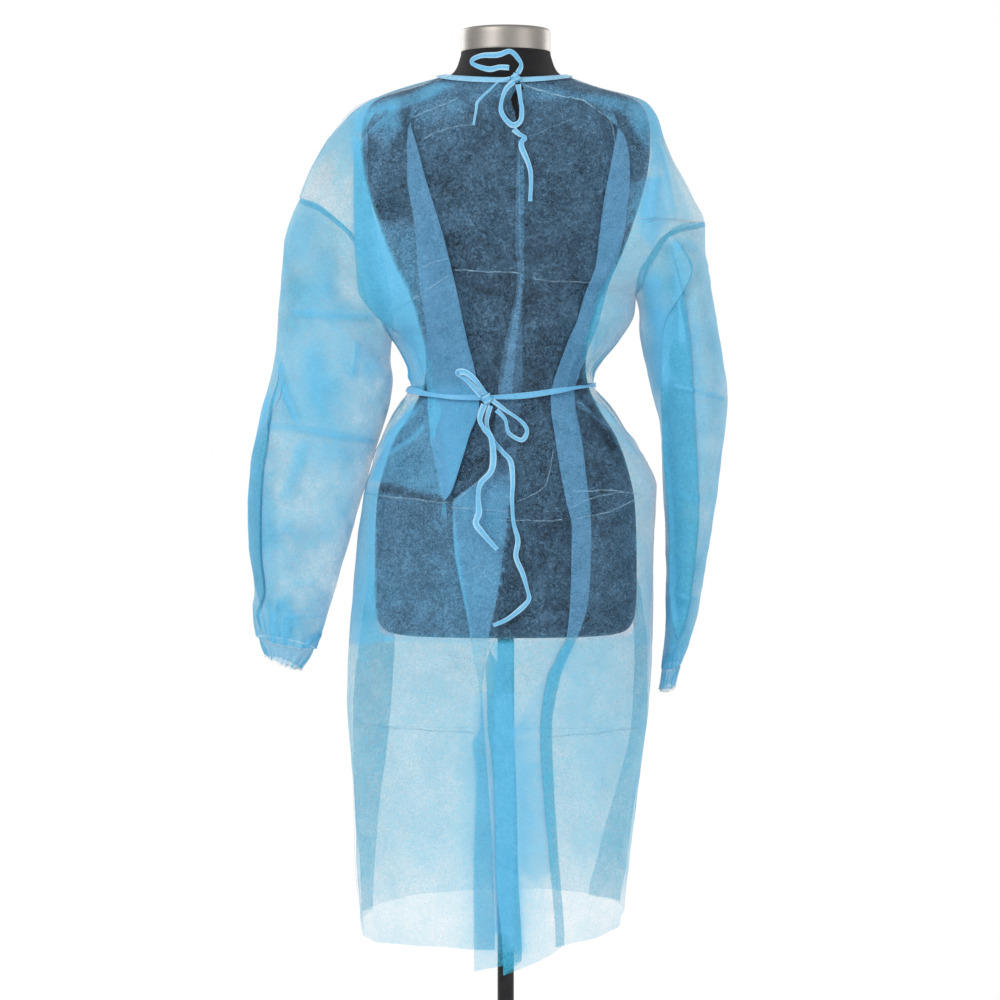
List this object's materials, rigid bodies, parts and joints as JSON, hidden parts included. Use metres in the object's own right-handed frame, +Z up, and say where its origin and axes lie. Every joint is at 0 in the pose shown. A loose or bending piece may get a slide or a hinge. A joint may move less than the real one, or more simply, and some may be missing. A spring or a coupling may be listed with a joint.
{
  "type": "isolation gown on a dress form",
  "caption": "Translucent light blue nonwoven isolation gown, open and tied at the back, worn by a black limbless dress form on a pole and round base.",
  "frame": {"origin": "centre of the base's underside, on the floor under the pole", "axes": "+Z up along the pole, the wearer faces +Y, the open tied back of the gown faces -Y, +X is the side of the right back panel as seen from behind"},
  "size_m": [0.6252, 0.364, 1.595],
  "materials": {
    "gown_nonwoven": "matte translucent spunbond nonwoven, light blue, cloudy fibre mottling",
    "tie_nonwoven": "folded strips of the same nonwoven, paler and denser",
    "cuff_elastic": "nonwoven edge gathered by white elastic thread",
    "form_jersey": "black fine ribbed jersey over a smooth form",
    "cap_brushed_steel": "brushed, warm grey",
    "stand_dark_metal": "satin dark grey"
  },
  "bodies": {
    "root": {"panel_back_left": "gown_nonwoven", "panel_back_right": "gown_nonwoven", "panel_front": "gown_nonwoven", "sleeve_left": "gown_nonwoven", "sleeve_right": "gown_nonwoven", "neck_binding": "tie_nonwoven", "neck_tie_knot": "tie_nonwoven", "neck_tie_loop_upper": "tie_nonwoven", "neck_tie_loop_lower": "tie_nonwoven", "neck_tie_tail_long": "tie_nonwoven", "neck_tie_tail_short": "tie_nonwoven", "waist_belt": "tie_nonwoven", "waist_knot": "tie_nonwoven", "waist_bow_left_under": "tie_nonwoven", "waist_bow_left_over": "tie_nonwoven", "waist_bow_right": "tie_nonwoven", "waist_tail_short": "tie_nonwoven", "waist_tail_long": "tie_nonwoven", "cuff_left": "cuff_elastic", "cuff_right": "cuff_elastic", "form_torso": "form_jersey", "form_neck_cap": "cap_brushed_steel", "form_pole": "stand_dark_metal", "form_base": "stand_dark_metal"}
  },
  "joints": []
}
